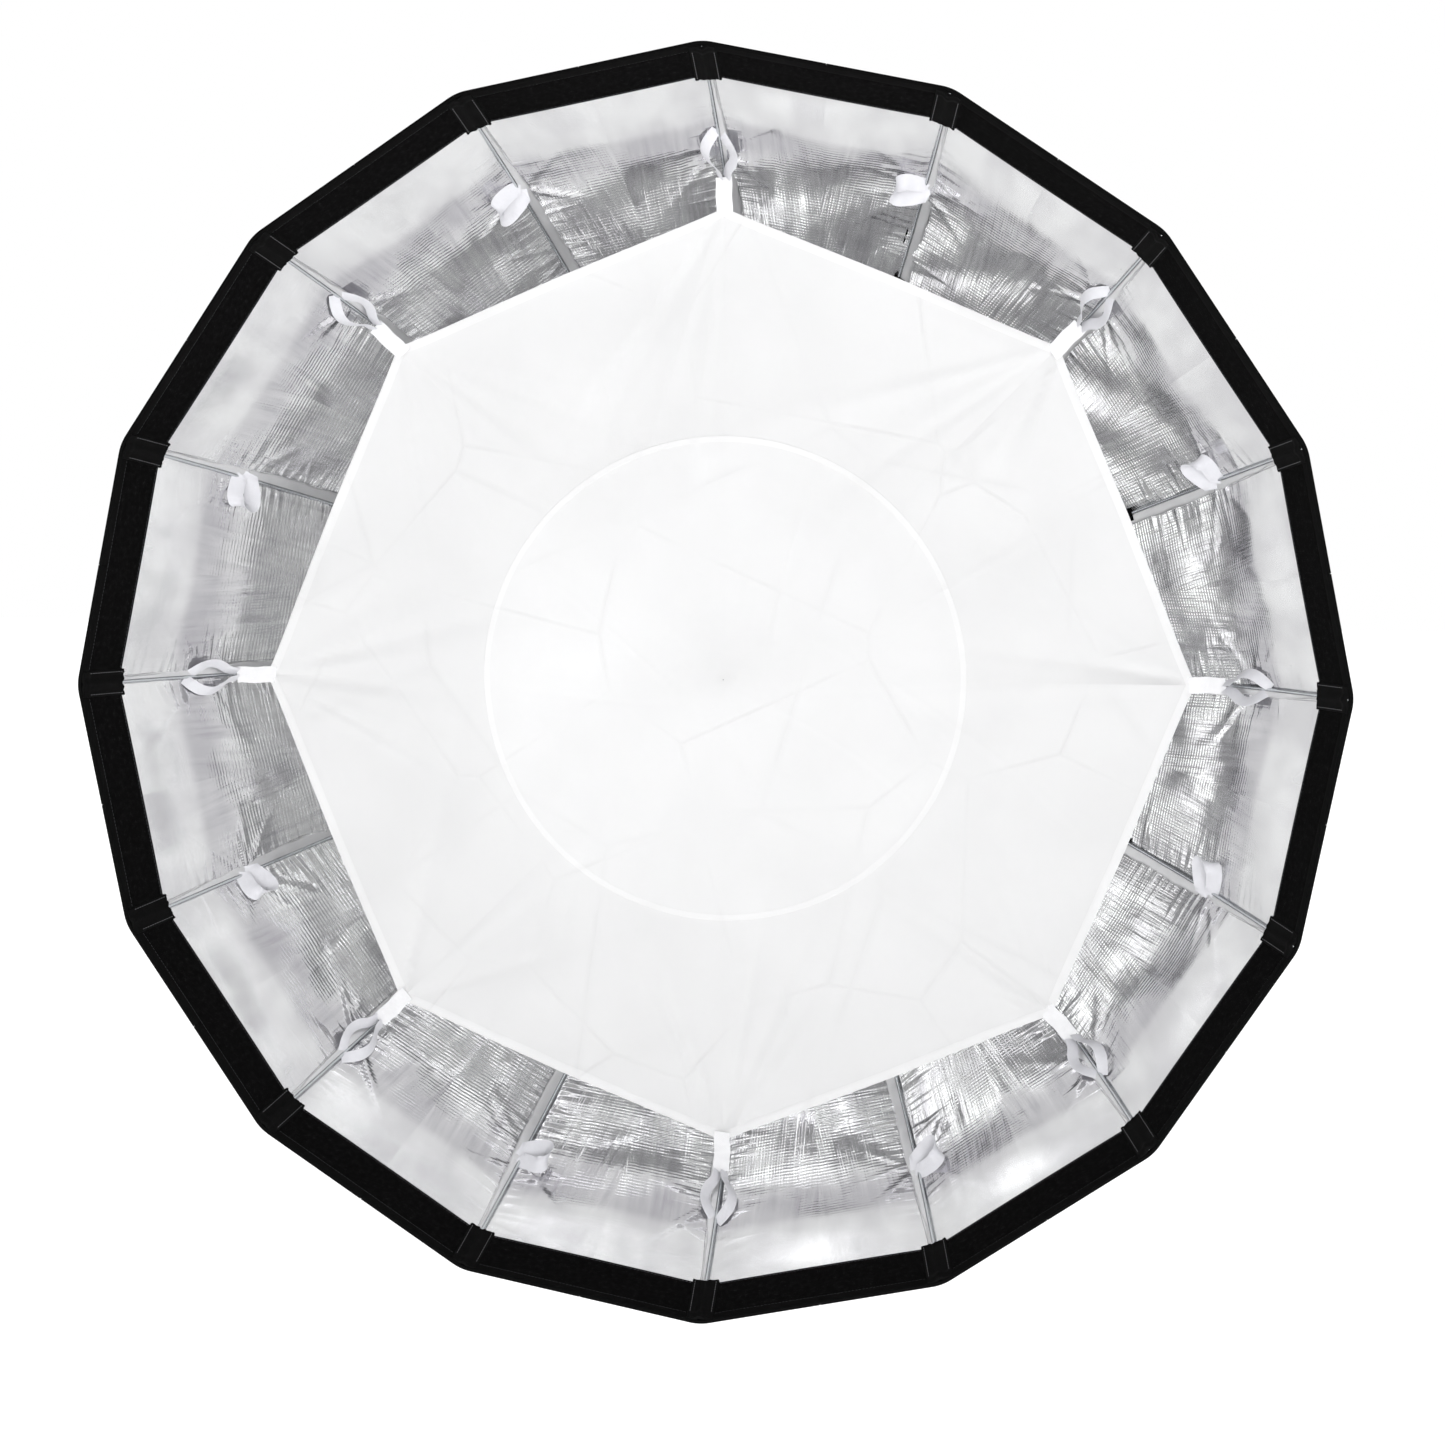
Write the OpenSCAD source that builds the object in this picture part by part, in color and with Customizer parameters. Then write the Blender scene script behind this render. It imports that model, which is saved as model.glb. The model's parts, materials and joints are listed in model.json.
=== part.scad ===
// Studio softbox with sixteen folding ribs and a deep reflective bowl.
// Every piece is drawn in a hub frame: +Z points out of the mouth, +Y is up and the
// mounting face lies at Z 0. The last turn lays that frame down, so that the mouth
// faces -Y and +Z is up. Millimetres throughout.

/* [Canopy] */
// Radius of the mouth at its corners
rim_r = 750; // [740:1:760]
// Depth from the mounting face to the plane of the mouth
depth = 665; // [655:1:675]
// Thickness of the canopy fabric with its lining
fabric_t = 1.5; // [1:0.1:2]
// Gap between a rod's centre line and the lining behind it
lining_gap = 3; // [2.8:0.1:3.5]

/* [Ribs] */
// Diameter of a rod
rod_d = 4; // [3:0.5:4]
// Slope of a rod where it leaves its holder, counted from the plane of the hub
rib_slope = 27.5; // [26:0.5:29]
// Radius of the circle of hinge pins
pivot_r = 90; // [88:1:92]
// Height of the hinge pins above the mounting face
pivot_z = 15; // [14.5:0.1:15.5]

/* [Hub] */
// Radius of the opening for the lamp head
bore_r = 44; // [40:0.5:44]
// Outer radius of the hub ring
hub_r = 107; // [106:0.5:108]
// Width of the slot that a rib holder turns in
slot_w = 12; // [12:0.5:14]
// Radial clearance of the turning fits
fit_gap = 0.05; // [0.03:0.01:0.08]

/* [Inner diffuser] */
// Radius of the inner diffuser at its corners
diffuser_r = 577; // [540:1:580]
// Distance from the plane of the mouth back to the inner diffuser
diffuser_back = 213; // [205:1:225]
// Width of the tape that ties a corner to its rib
tape_w = 20; // [16:1:25]

/* [Hidden] */
$fn = 96;
ribs = 16;
pitch = 360 / ribs;
eps = 0.02;
over = 1; // how far a cut runs past a face
play = 0.1; // clearance of parts that don't bear on each other
seat_gap = 0.5; // clearance at the end of a hole

// rod: a straight foot in its holder, then one arc to the tip
rod_r = rod_d / 2;
foot_from = 12.5;
foot_to = 46;
tip_r = rim_r - 5;
tip_z = depth - 5;
tip_ball_r = 2.6;
foot = [pivot_r + foot_to * cos(rib_slope), pivot_z + foot_to * sin(rib_slope)];
chord = [tip_r - foot[0], tip_z - foot[1]];
half_sweep = atan2(chord[1], chord[0]) - rib_slope;
arc_r = norm(chord) / (2 * sin(half_sweep));
arc_centre = [foot[0] - arc_r * sin(rib_slope), foot[1] + arc_r * cos(rib_slope)];
arc_from = rib_slope - 90;
arc_to = arc_from + 2 * half_sweep;

// holder
barrel_r = 6.5;
barrel_w = slot_w - seat_gap;
socket_from = 2;
socket_r = 4.5;
socket_to = 44;
pin_r = 2;
pin_hole_gap = 0.01;
pin_len = 20;

// panel: the outline of one gore, from mid gore to mid gore
panel_from = arc_from + 0.25;
panel_to = arc_to + 0.2;
panel_steps = 12;
panel_gap = 0.15;
panel_overhang = 20;
wedge_slack = 0.02;

// hub, from the mounting face forward
spigot_r = 48.5;
spigot_len = 11;
lug_r = 54;
lug_t = 4;
lug_z = -10;
lug_angle = 38;
lugs = 3;
flange_r = 74;
flange_t = 4;
journal_r = 60;
hub_z = 4.1;
journal_top = 18.5;
retainer_r = 65;
retainer_t = 3;
retainer_notches = 4;
notch = [8, 3];
hub_top = 24;
band_r = 74.5;
groove_r = 104;
groove_z = [6, 8.4];
slot_from = 82;
slot_floor = 8;
cover_r = [66.5, 80];
cover_t = 2.5;
screws = 8;
screw_circle_r = 73;
screw_r = 1.5;
screw_head = [2.8, 1.8];
screw_len = 6.5;
hex_r = 1.3;
release_r = 111;
finger_tabs = 4;
finger_size = [14, 9];
finger_at = 2.5;

// rotation lock, between the fifth and the sixth rib
knob_at = 4.5;
knob_z = 13.5;
knob_r = 8;
knob_from = 118.5;
knob_len = 12.5;
stem_r = 2.5;
stem_gap = 0.3;
grip_from = 2;
grip_count = 8;
grip_r = 1.2;

// collar between the hub and the panels, behind the rib holders
collar_to = 131.5;
collar_drop = 5.5;
collar_t = 1.4;

// inner diffuser
diffuser_z = depth - diffuser_back;
diffuser_t = 0.8;
tape_slope = 17;
tape_len = 36;
tape_gap = 1.5;

RIB_NODES = [for (i = [1:ribs]) str("rib_", i)];
HOLDER_NODES = [for (i = [1:ribs]) str("rib_holder_", i)];
PANEL_NODES = [for (i = [1:ribs]) str("canopy_panel_", i)];
HUB_NODES = [
    "bayonet_ring", "retaining_ring", "hub_ring", "hub_back_plate", "hub_front_cover",
    "cover_screws", "pivot_pins", "release_ring", "lock_knob", "canopy_collar",
    "inner_diffuser", "corner_tapes"
];

// point of an arc about the rod's centre, as [radius, height]
function arc_point(r, a) = arc_centre + r * [cos(a), sin(a)];

// lay the hub frame down, so that the mouth faces -Y
module row_frame() rotate([90, 0, 0]) children();

// place of number i round the hub, clockwise from the top as seen from the mouth
module at_place(i) rotate([0, 0, -pitch * i]) children();

// turn a shape drawn as [radius, height] up into the plane of the place at the top
module in_rib_plane() rotate([90, 0, 90]) children();

// flat ring between two heights
module ring(inner, outer, z_from, z_to) {
    translate([0, 0, z_from]) difference() {
        cylinder(r = outer, h = z_to - z_from);
        translate([0, 0, -over]) cylinder(r = inner, h = z_to - z_from + 2 * over);
    }
}

// rod along the line that a holder points in, from one distance to another
module along_holder(r, from, to) {
    in_rib_plane() translate([pivot_r, pivot_z]) rotate([0, 0, rib_slope])
        translate([from, 0, 0]) rotate([0, 90, 0]) cylinder(r = r, h = to - from);
}

module across_pivot(r, w) {
    in_rib_plane() translate([pivot_r, pivot_z, -w / 2]) cylinder(r = r, h = w);
}

module bayonet_ring() {
    profile = [
        [bore_r, -spigot_len], [spigot_r, -spigot_len], [spigot_r, 0], [flange_r, 0],
        [flange_r, flange_t], [journal_r, flange_t], [journal_r, journal_top], [bore_r, journal_top]
    ];
    color("dimgray") row_frame() {
        rotate_extrude() polygon(profile);
        for (i = [0:lugs - 1]) rotate([0, 0, i * 360 / lugs + 90 - lug_angle / 2])
            translate([0, 0, lug_z])
            rotate_extrude(angle = lug_angle) translate([spigot_r - over, 0])
            square([lug_r - spigot_r + over, lug_t]);
    }
}

// screwed onto the journal, it keeps the hub ring on
module retaining_ring() {
    color("silver") row_frame() difference() {
        ring(bore_r, retainer_r, journal_top, journal_top + retainer_t);
        for (i = [0:retainer_notches - 1]) rotate([0, 0, (i + 0.5) * 360 / retainer_notches])
            translate([-notch[0] / 2, retainer_r - notch[1], journal_top + over])
            cube([notch[0], notch[1] + over, retainer_t]);
    }
}

module hub_ring() {
    color("#26272a") row_frame() difference() {
        union() {
            ring(journal_r + fit_gap, band_r, hub_z, hub_top);
            ring(band_r - over, hub_r, groove_z[0], hub_top);
        }
        translate([0, 0, journal_top - play]) cylinder(r = cover_r[0], h = hub_top);
        ring(groove_r, hub_r + over, groove_z[0] - over, groove_z[1]);
        for (i = [0:ribs - 1]) at_place(i) {
            translate([-slot_w / 2, slot_from, slot_floor]) cube([slot_w, hub_r, hub_top]);
            across_pivot(pin_r + pin_hole_gap, pin_len);
        }
        at_place(knob_at) translate([0, journal_r - over, knob_z])
            rotate([-90, 0, 0]) cylinder(r = stem_r + fit_gap, h = hub_r);
        for (i = [0:screws - 1]) at_place(i * ribs / screws + 0.5)
            translate([0, screw_circle_r, hub_top - screw_len])
            cylinder(r = screw_r, h = screw_len + over);
    }
}

module hub_back_plate() {
    color("#1c1c1e") row_frame() ring(band_r + seat_gap, hub_r, hub_z, groove_z[0] - eps);
}

module hub_front_cover() {
    color("#d8d9dc") row_frame() difference() {
        ring(cover_r[0], cover_r[1], hub_top, hub_top + cover_t);
        for (i = [0:screws - 1]) at_place(i * ribs / screws + 0.5)
            translate([0, screw_circle_r, hub_top - over])
            cylinder(r = screw_r + play, h = cover_t + 2 * over);
    }
}

module cover_screws() {
    head_z = hub_top + cover_t;
    color("gray") row_frame() for (i = [0:screws - 1]) at_place(i * ribs / screws + 0.5)
        translate([0, screw_circle_r, 0]) difference() {
            union() {
                translate([0, 0, hub_top - screw_len + seat_gap])
                    cylinder(r = screw_r, h = screw_len + cover_t);
                translate([0, 0, head_z]) cylinder(r = screw_head[0], h = screw_head[1]);
            }
            translate([0, 0, head_z + screw_head[1] / 2]) cylinder(r = hex_r, h = screw_head[1], $fn = 6);
        }
}

module pivot_pins() {
    color("silver") row_frame() for (i = [0:ribs - 1]) at_place(i) across_pivot(pin_r, pin_len);
}

// turns in the groove behind the slots; its tabs are pushed round to free the ribs
module release_ring() {
    z_from = groove_z[0] + eps;
    z_to = groove_z[1] - play;
    color("#3a3c40") row_frame() {
        ring(groove_r + fit_gap, release_r, z_from, z_to);
        for (i = [0:finger_tabs - 1]) at_place(i * ribs / finger_tabs + finger_at)
            translate([-finger_size[0] / 2, release_r - over, z_from])
            cube([finger_size[0], finger_size[1] + over, z_to - z_from]);
    }
}

module lock_knob() {
    color("#151517") row_frame() at_place(knob_at) translate([0, 0, knob_z]) rotate([-90, 0, 0]) {
        translate([0, 0, journal_r + stem_gap]) cylinder(r = stem_r, h = knob_from - journal_r);
        difference() {
            translate([0, 0, knob_from]) cylinder(r = knob_r, h = knob_len);
            for (i = [0:grip_count - 1]) rotate([0, 0, i * 360 / grip_count])
                translate([knob_r, 0, knob_from + grip_from]) cylinder(r = grip_r, h = knob_len);
        }
    }
}

module canopy_collar() {
    rise = tan(rib_slope);
    top_z = pivot_z + (hub_r + eps - pivot_r) * rise - collar_drop / cos(rib_slope);
    end_z = top_z + (collar_to - hub_r) * rise;
    color("#1a1a1c") row_frame() rotate_extrude() polygon([
        [hub_r + eps, top_z - collar_t], [collar_to, end_z - collar_t],
        [collar_to, end_z], [hub_r + eps, top_z]
    ]);
}

module rib_holder(i) {
    color("#2c2d30") row_frame() at_place(i) difference() {
        union() {
            across_pivot(barrel_r, barrel_w);
            along_holder(socket_r, socket_from, socket_to);
        }
        across_pivot(pin_r + fit_gap, barrel_w + 2 * over);
        along_holder(rod_r + eps, foot_from, socket_to + over);
    }
}

module rib(i) {
    color("lightsteelblue") row_frame() at_place(i) {
        along_holder(rod_r, foot_from + play, foot_to);
        in_rib_plane() translate(arc_centre) rotate([0, 0, arc_from])
            rotate_extrude(angle = 2 * half_sweep) translate([arc_r, 0]) circle(r = rod_r);
        in_rib_plane() translate([tip_r, tip_z, 0]) sphere(r = tip_ball_r);
    }
}

// half a panel: the flat strip from the middle of a gore to the rib beside it
module half_gore() {
    inner = arc_r + lining_gap;
    step = (panel_to - panel_from) / panel_steps;
    turns = [for (k = [0:panel_steps]) panel_from + k * step];
    inner_edge = [for (a = turns) arc_point(inner, a)];
    outer_edge = [for (k = [panel_steps:-1:0]) arc_point(inner + fabric_t, turns[k])];
    outline = [for (p = concat(inner_edge, outer_edge)) [p[0] * cos(pitch / 2), p[1]]];
    reach = rim_r + panel_overhang;
    rotate([0, 0, -pitch / 2]) intersection() {
        in_rib_plane() translate([0, 0, -reach / 2 - panel_gap])
            linear_extrude(height = reach / 2) polygon(outline);
        linear_extrude(height = depth + panel_overhang)
            polygon([[0, 0], [0, reach], [-reach * tan(pitch / 2 + wedge_slack), reach]]);
    }
}

module canopy_panel(i) {
    color("#e4e6ea") row_frame() at_place(i) {
        half_gore();
        mirror([1, 0, 0]) half_gore();
    }
}

module inner_diffuser() {
    color("white") row_frame() translate([0, 0, diffuser_z - diffuser_t / 2])
        cylinder(r = diffuser_r, h = diffuser_t, $fn = 8);
}

// one tape from each corner of the inner diffuser out towards its rib
module corner_tapes() {
    color("whitesmoke") row_frame() for (i = [0:2:ribs - 1]) at_place(i)
        translate([-tape_w / 2, diffuser_r + tape_gap, diffuser_z]) rotate([tape_slope, 0, 0])
        translate([0, 0, -diffuser_t / 2]) cube([tape_w, tape_len, diffuser_t]);
}

bayonet_ring();
retaining_ring();
hub_ring();
hub_back_plate();
hub_front_cover();
cover_screws();
pivot_pins();
release_ring();
lock_knob();
canopy_collar();
inner_diffuser();
corner_tapes();
for (i = [0:ribs - 1]) rib(i);
for (i = [0:ribs - 1]) rib_holder(i);
for (i = [0:ribs - 1]) canopy_panel(i);
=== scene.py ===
import json
import math

import bpy
import numpy as np
from mathutils import Matrix, Vector


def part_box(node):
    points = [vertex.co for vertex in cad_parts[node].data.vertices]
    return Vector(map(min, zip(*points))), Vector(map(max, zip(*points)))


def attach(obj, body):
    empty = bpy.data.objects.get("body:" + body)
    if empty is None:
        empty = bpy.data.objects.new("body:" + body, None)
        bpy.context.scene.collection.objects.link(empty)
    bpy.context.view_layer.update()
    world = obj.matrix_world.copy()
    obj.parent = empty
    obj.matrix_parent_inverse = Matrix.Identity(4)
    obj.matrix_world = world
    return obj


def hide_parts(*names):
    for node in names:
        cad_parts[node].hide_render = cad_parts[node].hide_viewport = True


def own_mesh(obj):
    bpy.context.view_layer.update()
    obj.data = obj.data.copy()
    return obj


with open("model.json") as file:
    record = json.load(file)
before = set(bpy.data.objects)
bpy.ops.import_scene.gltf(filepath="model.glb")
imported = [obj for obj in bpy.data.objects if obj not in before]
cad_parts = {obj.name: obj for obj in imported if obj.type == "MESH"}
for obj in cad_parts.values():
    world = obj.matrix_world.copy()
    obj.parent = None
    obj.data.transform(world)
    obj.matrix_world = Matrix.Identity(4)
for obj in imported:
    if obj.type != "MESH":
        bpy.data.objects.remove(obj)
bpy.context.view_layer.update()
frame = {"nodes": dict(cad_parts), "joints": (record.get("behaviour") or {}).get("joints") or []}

# ---- Dimensions, in metres ----------------------------------------
# A place is given by the number of a rib, counted clockwise from the top as seen from the
# mouth, a radius, a distance across (clockwise) and a height, which runs from the mounting
# face out of the mouth.
RIBS = sum(name.startswith("rib_holder_") for name in frame["nodes"])
PITCH = math.tau / RIBS
HALF = PITCH / 2
JOINTS = {j["name"]: j for j in frame["joints"]}
HINGE = JOINTS["fold_1"]
PIVOT_R, PIVOT_H = HINGE["pos_m"][2], -HINGE["pos_m"][1]
FOLD = math.radians(HINGE["range_deg"][1])

RIM_R = 0.750
DEPTH = 0.665
ROD_SLOPE = math.radians(27.5)
ROD_FOOT = 0.046
TIP_IN = 0.005
LINING_GAP = 0.003
FABRIC_T = 0.0012

# the rod's arc: it leaves its holder at ROD_SLOPE and ends at the tip
foot = np.array([PIVOT_R + ROD_FOOT * math.cos(ROD_SLOPE), PIVOT_H + ROD_FOOT * math.sin(ROD_SLOPE)])
chord = np.array([RIM_R - TIP_IN, DEPTH - TIP_IN]) - foot
half_sweep = math.atan2(chord[1], chord[0]) - ROD_SLOPE
ARC_R = float(np.linalg.norm(chord)) / (2 * math.sin(half_sweep))
ARC_CENTRE = foot + ARC_R * np.array([-math.sin(ROD_SLOPE), math.cos(ROD_SLOPE)])
ARC_FROM = ROD_SLOPE - math.pi / 2
ARC_TO = ARC_FROM + 2 * half_sweep

# the lining runs s metres back from the edge of the mouth to the hub
EDGE_PHI = ARC_TO + math.radians(0.2)
S_HUB = (EDGE_PHI - ARC_FROM - math.radians(0.3)) * ARC_R
S_SEEN = 0.360          # what the diffuser doesn't hide
S_BAND = 0.066          # the inner edge of the rim band
S_TAB = 0.205           # where the tape loops are sewn in
SAG = 0.009             # how far the lining is drawn in at most
CORNER = 0.010          # half the width over which cloth rounds the corner at a rib
SEAM_CORNER = 0.003     # the same, for what is sewn down close beside a rod
NUDGE = 0.001           # a short step, for finding directions on the lining

# first seeds of the random draws
GORE_SEED, POCKET_SEED, FLAP_SEED, LOOP_SEED, DRAPE_SEED = 700, 40, 90, 300, 11

low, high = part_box("inner_diffuser")
DIFFUSER_R = high.z
DIFFUSER_H = -(low.y + high.y) / 2
DISC_R = 0.295
DIFFUSER_SIDES = 8


def smooth(x):
    x = np.clip(x, 0, 1)
    return x * x * (3 - 2 * x)


def hump(x, width):
    return np.exp(-((x / width) ** 2))


def arc_point(s, out=0.0):
    """Radius and height in a rib's plane, s back from the edge and out metres outside the rod."""
    phi = EDGE_PHI - np.asarray(s, float) / ARC_R
    r = ARC_R + np.asarray(out, float)
    return ARC_CENTRE[0] + r * np.cos(phi), ARC_CENTRE[1] + r * np.sin(phi)


def place(i, radial, across, height):
    """Point of the row frame at a place."""
    a = PITCH * i
    parts = [np.asarray(v, float) for v in (radial, across, height)]
    radial, across, height = np.broadcast_arrays(*parts)
    x = radial * math.sin(a) + across * math.cos(a)
    z = radial * math.cos(a) - across * math.sin(a)
    return np.stack([x, -height, z], axis=-1)


def skin(i, across, s, lift, corner=CORNER):
    """Point lift metres inside the lining beside rib i, with the corner at the rib rounded off."""
    t = np.abs(across)
    w = 1 - np.minimum(t / half_chord(s), 1)
    radial, height = arc_point(s, LINING_GAP - np.asarray(lift, float) - sag(s, w))
    drop = np.where(t > corner, t, t * t / (2 * corner) + corner / 2) * math.tan(HALF)
    return place(i, radial - drop, across, height)


def lining_at(radius=None, height=None):
    """How far back from the edge the lining lies at a radius, or at a height."""
    s = np.linspace(0, S_HUB, 4000)
    radii, heights = arc_point(s, LINING_GAP)
    away = heights - height if radius is None else radii - radius
    return float(s[np.argmin(np.abs(away))])


def half_chord(s):
    """Distance across from a rib to the middle of its gore."""
    return arc_point(s, LINING_GAP)[0] * math.cos(HALF) * math.sin(HALF)


def sag(s, w):
    """How far the lining is drawn in s metres back, at w from -1 at one rib to 1 at the next."""
    return SAG * (1 - w ** 2) * smooth((s - 0.045) / 0.105) * (1 - 0.95 * smooth((s - 0.085) / 0.15))


def closing(s):
    """What is left of a gore's width when the ribs are folded."""
    radial, height = arc_point(s, LINING_GAP)
    x, h = radial * math.cos(HALF) ** 2 - PIVOT_R, height - PIVOT_H
    folded = PIVOT_R + x * math.cos(FOLD) - h * math.sin(FOLD)
    return float(folded * math.tan(HALF) / half_chord(s))


def on_arm(piece, i, keep=None):
    """The piece swings with rib i; when keep is given, it gets a mesh of its own."""
    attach(piece, f"arm_{i + 1}")
    if keep is not None:
        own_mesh(piece)


def with_canopy(piece, i, slot, *places):
    """The piece swings with rib i and gets a mesh of its own; how far the lining closes at its places
    is passed on as keep.
    """
    on_arm(piece, i, max(closing(s) for s in places))


# ---- Mesh helpers ------------------------------------------------

def build(name, points, quads, materials, uv=None, normals=None, face_material=None):
    """Mesh object from points (n, 3) and quads (m, 4), with uv and normals for each quad's corners."""
    mesh = bpy.data.meshes.new(name)
    mesh.vertices.add(len(points))
    mesh.vertices.foreach_set("co", np.asarray(points, np.float32).ravel())
    mesh.loops.add(quads.size)
    mesh.loops.foreach_set("vertex_index", np.asarray(quads, np.int32).ravel())
    mesh.polygons.add(len(quads))
    mesh.polygons.foreach_set("loop_start", np.arange(0, quads.size, 4, dtype=np.int32))
    if face_material is not None:
        mesh.polygons.foreach_set("material_index", np.asarray(face_material, np.int32))
    mesh.polygons.foreach_set("use_smooth", np.ones(len(quads), bool))
    mesh.update(calc_edges=True)
    for m in materials:
        mesh.materials.append(m)
    if uv is not None:
        mesh.uv_layers.new(name="cloth").data.foreach_set("uv", np.asarray(uv, np.float32).ravel())
    if normals is not None:
        mesh.normals_split_custom_set(np.asarray(normals, np.float32).reshape(-1, 3))
    obj = bpy.data.objects.new(name, mesh)
    bpy.context.scene.collection.objects.link(obj)
    return obj


def corners(grid):
    """The values at the four corners of each cell of a grid."""
    return np.stack([grid[:-1, :-1], grid[:-1, 1:], grid[1:, 1:], grid[1:, :-1]], axis=2)


def unit(v):
    return v / np.maximum(np.linalg.norm(v, axis=-1, keepdims=True), 1e-12)


def surface_normals(grid):
    return unit(np.cross(np.gradient(grid, axis=1), np.gradient(grid, axis=0)))


def metric_uv(grid):
    """Plain lengths across and along the middle of a grid."""
    rows, cols = grid.shape[:2]
    along = np.linalg.norm(np.diff(grid[:, cols // 2], axis=0), axis=-1)
    across = np.linalg.norm(np.diff(grid[rows // 2], axis=0), axis=-1)
    v = np.concatenate([[0], np.cumsum(along)])
    u = np.concatenate([[0], np.cumsum(across)])
    return np.stack(np.broadcast_arrays(u[None, :], v[:, None]), axis=-1)


def slab(name, front, back, materials, uv=None, front_normals=None, cell_material=None,
         back_material=0, back_normals=None):
    """A closed sheet between two grids of points. Normals of the front may be given per cell corner."""
    rows, cols = front.shape[:2]
    front, back = np.asarray(front, float), np.asarray(back, float)
    up = surface_normals(front)
    flip = float(np.sum(up * (front - back))) < 0
    up = -up if flip else up
    index = np.arange(rows * cols).reshape(rows, cols)
    under = index + rows * cols
    top = corners(index).reshape(-1, 4)
    bottom = corners(under).reshape(-1, 4)[:, ::-1]
    f, b = index, under
    sides = [
        np.stack([f[0, :-1], b[0, :-1], b[0, 1:], f[0, 1:]], -1),
        np.stack([f[-1, :-1], f[-1, 1:], b[-1, 1:], b[-1, :-1]], -1),
        np.stack([f[:-1, 0], f[1:, 0], b[1:, 0], b[:-1, 0]], -1),
        np.stack([f[:-1, -1], b[:-1, -1], b[1:, -1], f[1:, -1]], -1),
    ]
    quads = np.concatenate([top, bottom, *sides])
    points = np.concatenate([front.reshape(-1, 3), back.reshape(-1, 3)])
    uv = metric_uv(front) if uv is None else uv
    flat_uv = uv.reshape(-1, 2)
    corner_uv = np.concatenate([flat_uv, flat_uv])[quads]
    if front_normals is None:
        top_normals = corners(up).reshape(-1, 4, 3)
    else:
        top_normals = front_normals.reshape(-1, 4, 3)
    if flip:
        quads, corner_uv = quads[:, ::-1], corner_uv[:, ::-1]
    edge = points[quads[len(top) * 2:]]
    edge_normals = unit(np.cross(edge[:, 2] - edge[:, 0], edge[:, 3] - edge[:, 1]))
    edge_normals = np.repeat(edge_normals[:, None], 4, axis=1)
    order = slice(None, None, -1) if flip else slice(None)
    if back_normals is None:
        bottom_normals = -top_normals[:, ::-1]
    else:
        bottom_normals = corners(back_normals).reshape(-1, 4, 3)[:, ::-1]
    normals = np.concatenate([top_normals[:, order], bottom_normals[:, order], edge_normals])
    facing = np.full(len(quads), back_material)
    facing[:len(top)] = 0 if cell_material is None else cell_material.ravel()
    return build(name, points, quads, materials, corner_uv, normals, facing)


def spline(points, count):
    """A smooth curve through control points of any dimension."""
    p = np.asarray(points, float)
    p = np.concatenate([2 * p[:1] - p[1:2], p, 2 * p[-1:] - p[-2:-1]])
    spans = len(p) - 3
    out = []
    for t in np.linspace(0, spans, count):
        k = min(int(t), spans - 1)
        a, b, c, d = p[k:k + 4]
        u = t - k
        out.append(0.5 * (2 * b + (c - a) * u + (2 * a - 5 * b + 4 * c - d) * u ** 2
                          + (3 * b - a - 3 * c + d) * u ** 3))
    return np.array(out)


def ribbon(name, centres, sideways, width, thick, materials, columns=7):
    """A tape that follows centres, its width along sideways."""
    along = unit(np.gradient(centres, axis=0))
    side = unit(sideways - along * np.sum(sideways * along, -1, keepdims=True))
    up = np.cross(side, along)
    u = np.linspace(-0.5, 0.5, columns)
    edge = thick * 0.5 * np.sqrt(np.clip(1 - (2 * u) ** 6, 0.04, 1))
    middle = centres[:, None] + side[:, None] * (u * width)[None, :, None]
    bulge = up[:, None] * edge[None, :, None]
    return slab(name, middle + bulge, middle - bulge, materials)


def stitches(name, centres, along, normal, length, radius, material):
    """Short threads, one at each centre."""
    sides = 6
    x = np.array([-0.5, -0.36, 0.36, 0.5]) * length
    r = np.array([0.45, 1, 1, 0.45]) * radius
    a = np.arange(sides) * math.tau / sides
    along, normal = unit(along), unit(normal)
    side = np.cross(normal, along)
    ring = (centres[:, None, None] + along[:, None, None] * x[None, :, None, None]
            + side[:, None, None] * (r[:, None] * np.cos(a))[None, :, :, None]
            + normal[:, None, None] * (r[:, None] * np.sin(a))[None, :, :, None])
    k = np.arange(sides)
    quads = [np.stack([j * sides + k, j * sides + (k + 1) % sides, (j + 1) * sides + (k + 1) % sides,
                       (j + 1) * sides + k], -1) for j in range(len(x) - 1)]
    end = (len(x) - 1) * sides
    caps = np.array([[3, 2, 1, 0], [5, 4, 3, 0], [end, end + 1, end + 2, end + 3],
                     [end, end + 3, end + 4, end + 5]])
    one = np.concatenate([*quads, caps])
    quads = (one[None] + (np.arange(len(centres)) * len(x) * sides)[:, None, None]).reshape(-1, 4)
    return build(name, ring.reshape(-1, 3), quads[:, ::-1], [material])


def strip(name, i, outline, s, lifts, materials, corner=CORNER):
    """A sheet on the lining beside rib i: outline gives each column's distance across at each s."""
    s = np.asarray(s, float)[:, None]
    front, back = (skin(i, outline, s, lift, corner) for lift in lifts)
    return slab(name, front, back, materials)


def sewn(name, i, across, s, lift, size, look, corner=CORNER, step=(0, NUDGE), rise=NUDGE):
    """A row of stitches of a size (length, radius) on the lining beside rib i, laid along step."""
    centres = skin(i, across, s, lift, corner)
    ahead = skin(i, across + step[0], s + step[1], lift, corner)
    behind = skin(i, across - step[0], s - step[1], lift, corner)
    up = skin(i, across, s, lift + rise, corner) - centres
    return stitches(name, centres, ahead - behind, up, *size, look)


# ---- Materials ---------------------------------------------------

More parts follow.
